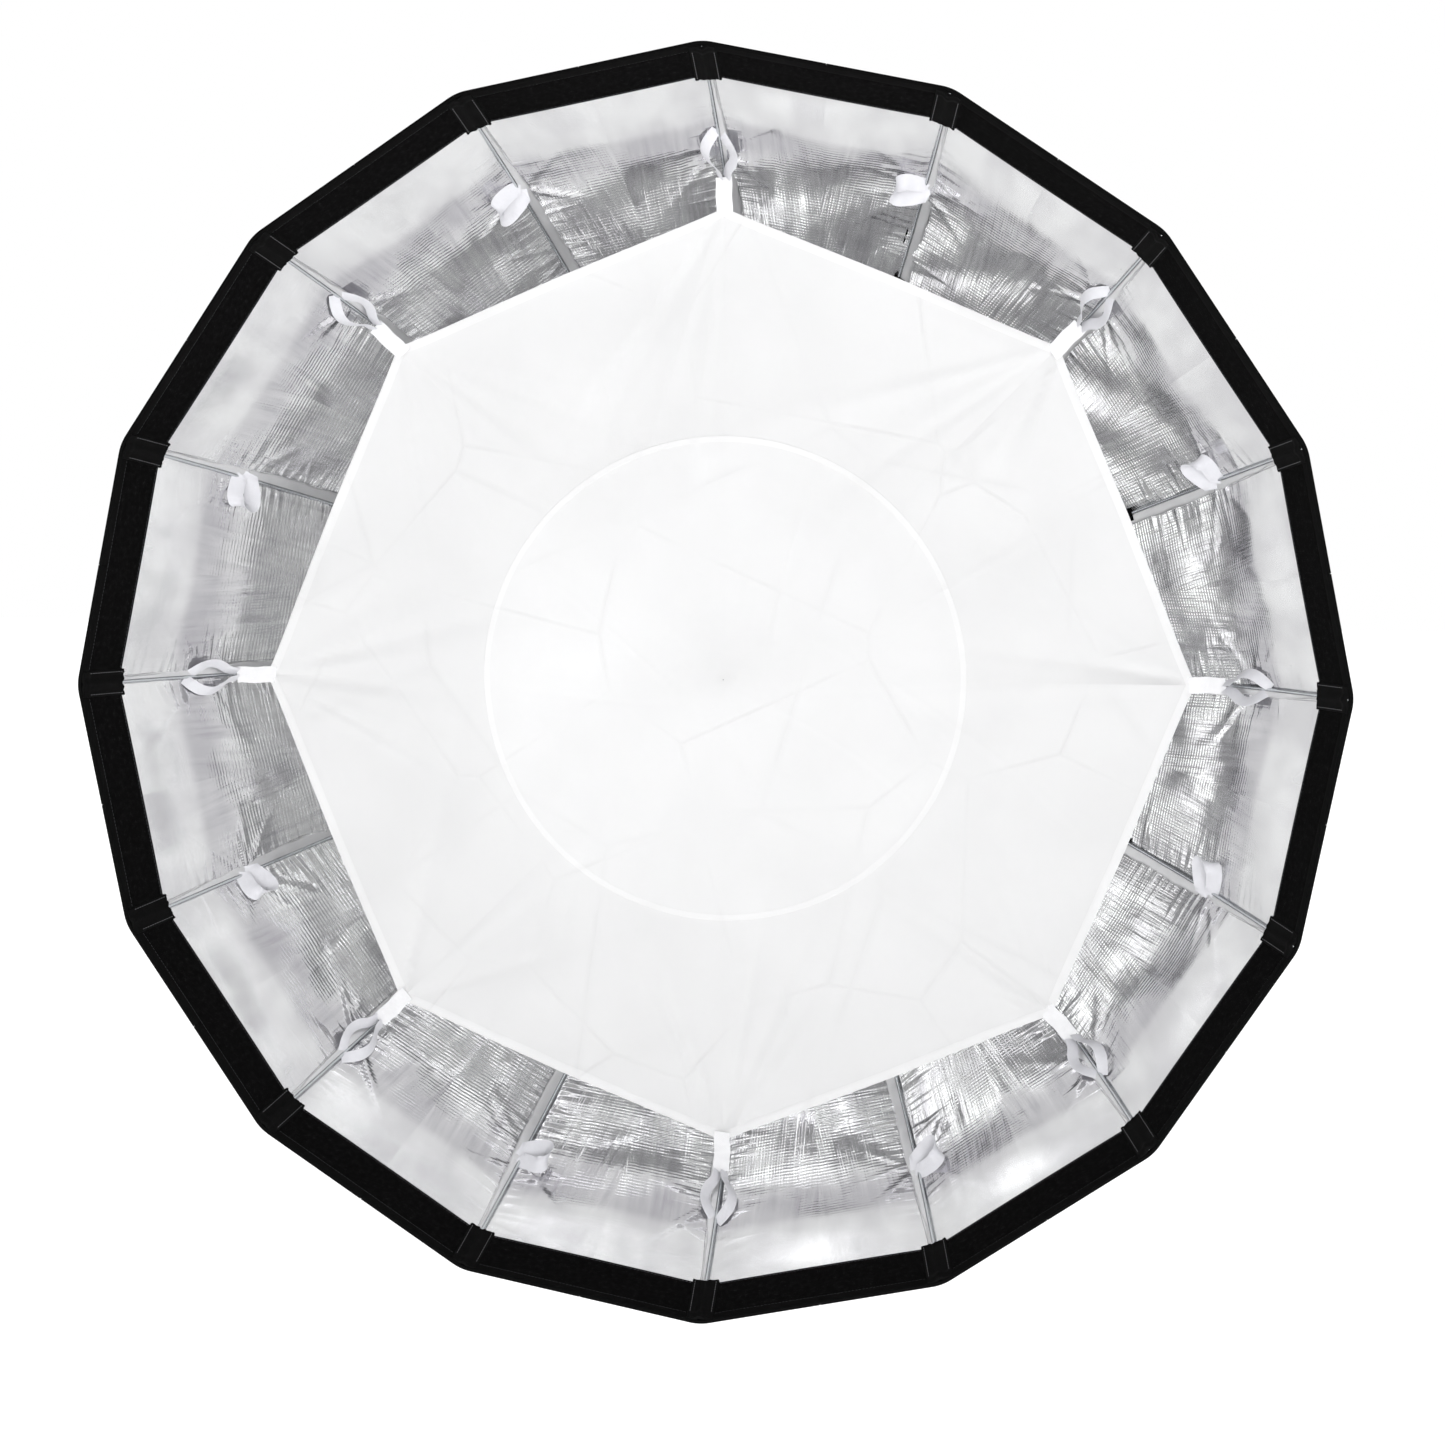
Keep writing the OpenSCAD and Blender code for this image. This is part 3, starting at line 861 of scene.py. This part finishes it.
def along_lining(i, s, lean):
    """Directions down the lining, leaned up from it."""
    down = skin(i, 0, s + NUDGE, 0) - skin(i, 0, s - NUDGE, 0)
    up = skin(i, 0, s, NUDGE) - skin(i, 0, s, 0)
    lean = np.asarray(lean, float)[:, None]
    return unit(down) * np.cos(lean) + unit(up) * np.sin(lean)


def loop(i):
    """Tape loop at a rib: it leaves the seam, folds over on the anticlockwise side and comes back."""
    rng = np.random.default_rng(LOOP_SEED + i)
    reach = 0.030 + rng.uniform(-0.002, 0.002)
    drift = rng.uniform(-0.002, 0.002)
    path = [  # across, s, lift, lean
        (0.003, S_TAB - 0.006, 0.0045, 0.3),
        (-reach * 0.30, S_TAB - 0.010, 0.0060, 0.6),
        (-reach * 0.75, S_TAB - 0.013 + drift, 0.0095, 0.75),
        (-reach * 1.02, S_TAB - 0.008 + drift, 0.0130, 0.85),
        (-reach * 1.05, S_TAB + 0.004 + drift, 0.0165, 0.9),
        (-reach * 0.85, S_TAB + 0.011, 0.0165, 0.8),
        (-reach * 0.35, S_TAB + 0.010, 0.0120, 0.65),
        (0.000, S_TAB + 0.007, 0.0085, 0.5),
        (0.0055, S_TAB + 0.006, 0.0055, 0.4),
        (0.0080, S_TAB + 0.006, 0.0050, 0.4),
    ]
    p = spline(path, 46)
    # the loop is given the darker copy of the tape: painted shade
    piece = ribbon(f"tape_loop_{i + 1}", skin(i, p[:, 0], p[:, 1], p[:, 2], SEAM_CORNER),
                   along_lining(i, p[:, 1], p[:, 3]), TAPE_W, TAPE_T, [SHADED_TAPE])
    with_canopy(piece, i, "tape_webbing", S_TAB)


STRAP_END = (0.611, 0.463)     # radius and height where a corner's strap meets the loop


def strap_loop(i):
    """At every second rib the loop holds a corner of the diffuser, drawn tight into two legs."""
    end_s = lining_at(height=STRAP_END[1])
    slope = EDGE_PHI - end_s / ARC_R
    gap = float(arc_point(end_s, LINING_GAP)[0]) - STRAP_END[0]
    start_s, start_lift = end_s - gap * math.sin(slope), gap * math.cos(slope)
    legs = {
        "a": [(-0.004, start_s, start_lift, 0.9), (-0.006, end_s - 0.002, 0.0130, 0.9),
              (-0.013, end_s - 0.016, 0.0125, 0.8), (-0.018, end_s - 0.032, 0.0115, 0.7),
              (-0.016, end_s - 0.047, 0.0095, 0.5), (-0.009, end_s - 0.058, 0.0065, 0.3),
              (-0.002, end_s - 0.064, 0.0015, 0.0)],
        "b": [(0.004, start_s, start_lift, 0.9), (0.007, end_s - 0.003, 0.0130, 0.9),
              (0.014, end_s - 0.018, 0.0120, 0.8), (0.016, end_s - 0.033, 0.0105, 0.7),
              (0.011, end_s - 0.047, 0.0080, 0.4), (0.003, end_s - 0.056, 0.0015, 0.1)],
    }
    for key, path in legs.items():
        p = spline(path, 34)
        centres = skin(i, p[:, 0], p[:, 1], p[:, 2], SEAM_CORNER)
        along = unit(np.gradient(centres, axis=0))
        up = unit(skin(i, p[:, 0], p[:, 1], p[:, 2] + NUDGE, SEAM_CORNER) - centres)
        side = np.cross(along, up)
        twist = p[:, 3][:, None]
        # the legs are given the darker copy of the tape: painted shade
        piece = ribbon(f"strap_loop_{i + 1}{key}", centres, side * np.cos(twist) + up * np.sin(twist),
                       TAPE_W * 0.70, TAPE_T, [SHADED_TAPE])
        with_canopy(piece, i, "tape_webbing", end_s - 0.04)


def strap(i):
    """Tape from a corner of the diffuser up to its loop."""
    p = spline([(DIFFUSER_R - 0.014, DIFFUSER_H + 0.0016), (DIFFUSER_R - 0.004, DIFFUSER_H + 0.0022),
                (DIFFUSER_R + 0.012, DIFFUSER_H + 0.0045),
                (STRAP_END[0] - 0.012, STRAP_END[1] - 0.003), STRAP_END], 20)
    centres = place(i, p[:, 0], 0.0005 * np.sin(p[:, 0] * 200), p[:, 1])
    side = np.broadcast_to(place(i, 0, 1, 0), centres.shape)
    piece = ribbon(f"corner_tape_{i + 1}", centres, side, TAPE_W, TAPE_T, [TAPE], 9)
    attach(piece, "diffuser")
    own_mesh(piece)
    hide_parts("corner_tapes")


# ---- Inner diffuser ----------------------------------------------

SECTORS = 4 * DIFFUSER_SIDES
HEM_W = 0.0105
CLOTH_T = 0.0008
CORNER_EASE = 0.035


def octagon_edge(angle):
    """Radius of the diffuser's outline, its corners slightly rounded."""
    side = math.tau / DIFFUSER_SIDES
    away = np.abs(np.mod(angle + side / 2, side) - side / 2)
    eased = np.sqrt(away ** 2 + CORNER_EASE ** 2) - CORNER_EASE * np.exp(-away / CORNER_EASE)
    turned = side / 2 - np.minimum(eased + 0.3 * CORNER_EASE, side / 2)
    return DIFFUSER_R * math.cos(side / 2) / np.cos(turned)


def drape(x, z):
    """How far the diffuser's cloth stands out of its plane."""
    rng = np.random.default_rng(DRAPE_SEED)
    height = np.zeros_like(x)
    radius = np.hypot(x, z)
    for _ in range(14):                         # soft undulation
        a = rng.uniform(0, math.tau)
        k = rng.uniform(14, 46)
        height += 0.0007 * np.sin(k * (x * math.cos(a) + z * math.sin(a)) + rng.uniform(0, 6))
    for _ in range(26):                         # pressed-in fold lines
        a = rng.choice([0.0, math.pi / 2, 0.9, 2.1]) + rng.normal(0, 0.12)
        u = x * math.cos(a) + z * math.sin(a) - rng.uniform(-0.5, 0.5)
        v = -x * math.sin(a) + z * math.cos(a) - rng.uniform(-0.4, 0.4)
        bend = rng.normal(0, 0.5) * v ** 2
        size = rng.choice([-1, 1]) * rng.uniform(0.0003, 0.0009)
        height += size * hump(u - bend, 0.004) * hump(v, 0.16)
    for k in range(DIFFUSER_SIDES):             # tension folds out of the corners
        a = k * math.tau / DIFFUSER_SIDES
        along = DIFFUSER_R - (x * math.sin(a) + z * math.cos(a))
        across = x * math.cos(a) - z * math.sin(a)
        for _ in range(10):
            lean = rng.uniform(-0.75, 0.75)
            spread = 0.003 + rng.uniform(0.02, 0.06) * np.clip(along, 0, 1)
            reach = hump(along - 0.07, rng.uniform(0.12, 0.36 if k % 2 == 0 else 0.26))
            height += rng.uniform(-0.0030, 0.0030) * hump(across - lean * along, spread) * reach
    fade = smooth((octagon_edge(np.arctan2(x, z)) - radius) / 0.02)
    return height * fade


def sector(k):
    """One slice of the diffuser, with its hem and its part of the disc's stitched ring."""
    span = math.tau / SECTORS
    angle = (k + np.linspace(0, 1, 17))[None, :] * span
    edge = octagon_edge(angle)
    ring = np.array([-0.0042, -0.0036, -0.0030, 0.0030, 0.0036, 0.0042]) + DISC_R
    inner = np.concatenate([np.linspace(0.0008, 0.285, 36), ring])[:, None]
    share = np.linspace(0, 1, 24)[1:, None]
    outer = inner[-1] + share * (edge - HEM_W - 0.0006 - inner[-1])
    hem = np.array([-HEM_W, -0.0010, 0.0])[:, None] + edge
    radius = np.concatenate([inner + 0 * edge, outer, hem])
    raise_ = np.zeros(len(radius))
    raise_[len(inner) - 5:len(inner) - 1] = 0.0007
    raise_[:len(inner) - 5] = 0.0003
    raise_[-3:] = (0.0012, 0.0012, 0.0004)
    x, z = radius * np.sin(angle), radius * np.cos(angle)
    height = DIFFUSER_H + drape(x, z)
    above = CLOTH_T / 2 + raise_[:, None]
    below = CLOTH_T / 2 + 0.5 * np.where(raise_ > 0.001, raise_, 0)[:, None]    # the hem's other side
    front = np.stack([x, -(height + above), z], -1)
    back = np.stack([x, -(height - below), z], -1)
    uv = np.stack([x, z], -1)
    cells = np.zeros((len(radius) - 1, angle.size - 1), int)
    cells[:len(inner) - 5] = 2
    cells[len(inner) - 5:len(inner) - 2] = 1
    cells[-3:] = 1
    piece = slab(f"diffuser_{k + 1}", front, back, [CLOTH, HEM, DISC], uv, cell_material=cells)
    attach(piece, "diffuser")
    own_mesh(piece)
    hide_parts("inner_diffuser")


# ---- Collar between the hub and the canopy -----------------------

COLLAR_CUFF = 0.009


def collar():
    """Cloth collar: a shallow cone with gathers, and a cuff behind the shell's inner edge."""
    low_c, high_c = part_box("canopy_collar")
    cad_r = high_c.z
    outer_r = cad_r + COLLAR_CUFF
    inner_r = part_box("hub_ring")[1].z + 0.0002
    rise = math.tan(ROD_SLOPE)
    top = -low_c.y
    a = np.linspace(0, math.tau, 193)[None, :]
    r = np.linspace(inner_r, outer_r, 9)[:, None]
    gather = 0.0003 * np.sin(a * 64)
    gather = gather * smooth((r - inner_r) / 0.01) * smooth((outer_r - r) / 0.006 + 0.2)
    height = top - (cad_r - r) * rise - 0.0004 + gather
    front = np.stack(np.broadcast_arrays(r * np.sin(a), -height, r * np.cos(a)), -1)
    back = np.stack(np.broadcast_arrays(r * np.sin(a), -height + 0.0011, r * np.cos(a)), -1)
    uv = np.stack(np.broadcast_arrays(a * outer_r, r), -1)
    piece = slab("collar_cloth", front, back, [SHELL], uv)
    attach(piece, "hub")
    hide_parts("canopy_collar")


# ---- Camera, light and floor -------------------------------------

FLOOR_Z = -1.6


def camera():
    """The camera looks at the middle of the mouth from slightly above and to the right."""
    distance, azimuth, elevation = 4.0, math.radians(7.63), math.radians(4.23)
    turn_x, turn_y, roll = math.radians(0.37), math.radians(-0.505), math.radians(0.14)
    back = Vector((math.sin(azimuth) * math.cos(elevation), -math.cos(azimuth) * math.cos(elevation),
                   math.sin(elevation)))
    forward = -back
    right = forward.cross(Vector((0, 0, 1))).normalized()
    up = right.cross(forward)
    look = (forward + right * math.tan(turn_x) + up * math.tan(turn_y)).normalized()
    right = look.cross(Vector((0, 0, 1))).normalized()
    up = right.cross(look)
    x = right * math.cos(roll) + up * math.sin(roll)
    y = -right * math.sin(roll) + up * math.cos(roll)
    data = bpy.data.cameras.new("camera")
    data.sensor_width = 36
    data.lens = 85.32
    data.clip_end = 100
    obj = bpy.data.objects.new("camera", data)
    bpy.context.scene.collection.objects.link(obj)
    turned = Matrix((x, y, -look)).transposed().to_4x4()
    obj.matrix_world = Matrix.Translation(Vector((0, -DEPTH, 0)) + back * distance) @ turned
    bpy.context.scene.camera = obj


def area_light(name, location, target, size, power):
    data = bpy.data.lights.new(name, "AREA")
    data.shape = "RECTANGLE"
    data.size, data.size_y = size
    data.energy = power
    obj = bpy.data.objects.new(name, data)
    obj.location = location
    direction = Vector(target) - Vector(location)
    obj.rotation_euler = direction.to_track_quat("-Z", "Y").to_euler()
    obj.visible_camera = False
    bpy.context.scene.collection.objects.link(obj)


def studio():
    scene = bpy.context.scene
    scene.view_settings.view_transform = "Standard"
    world = bpy.data.worlds.new("studio")
    scene.world = world
    world.use_nodes = True
    tree = world.node_tree
    direction = tree.nodes.new("ShaderNodeTexCoord")
    split = tree.nodes.new("ShaderNodeSeparateXYZ")
    span = tree.nodes.new("ShaderNodeMapRange")
    span.inputs["From Min"].default_value = -1
    ramp = tree.nodes.new("ShaderNodeValToRGB")
    stops = ramp.color_ramp.elements
    stops[0].position, stops[0].color = 0.40, (0.42, 0.42, 0.43, 1)
    stops[1].position, stops[1].color = 0.52, (1, 1, 1, 1)
    tree.links.new(direction.outputs["Generated"], split.inputs[0])
    tree.links.new(split.outputs["Y"], span.inputs["Value"])
    tree.links.new(span.outputs["Result"], ramp.inputs["Fac"])
    tree.links.new(ramp.outputs["Color"], tree.nodes["Background"].inputs["Color"])
    area_light("key", (3.6, -6.3, 0.7), (0, -0.5, 0), (3.2, 3.2), 150)
    area_light("second", (-3.6, -6.3, 2.0), (0, -0.5, 0), (3.2, 3.2), 100)
    area_light("fill", (1.2, -7.4, -0.5), (0, -0.5, 0), (3.0, 2.0), 100)
    # behind the diffuser, seen in the lining on the right
    area_light("inside", (-0.28, -0.29, -0.03), (0.66, -0.55, -0.03), (0.16, 0.32), 0.24)
    bpy.ops.mesh.primitive_plane_add(size=60, location=(0, 0, FLOOR_Z))
    floor = bpy.context.object
    floor.name = "floor"
    pale = material("floor_pale", (0.9, 0.9, 0.9), 0.9, specular=0.1)
    glow = pale.node_tree.nodes["Principled BSDF"].inputs
    glow["Emission Color"].default_value = (1, 1, 1, 1)
    glow["Emission Strength"].default_value = 0.55
    floor.data.materials.append(pale)


camera()
studio()
finish_cad_nodes()
canopy()
for rib in range(RIBS):
    band(rib)
    binding(rib)
    pocket(rib)
    flap(rib)
    keeper(rib)
    outer_seam(rib)
    if rib % 2:
        loop(rib)
    else:
        strap_loop(rib)
        strap(rib)
for part in range(SECTORS):
    sector(part)
collar()
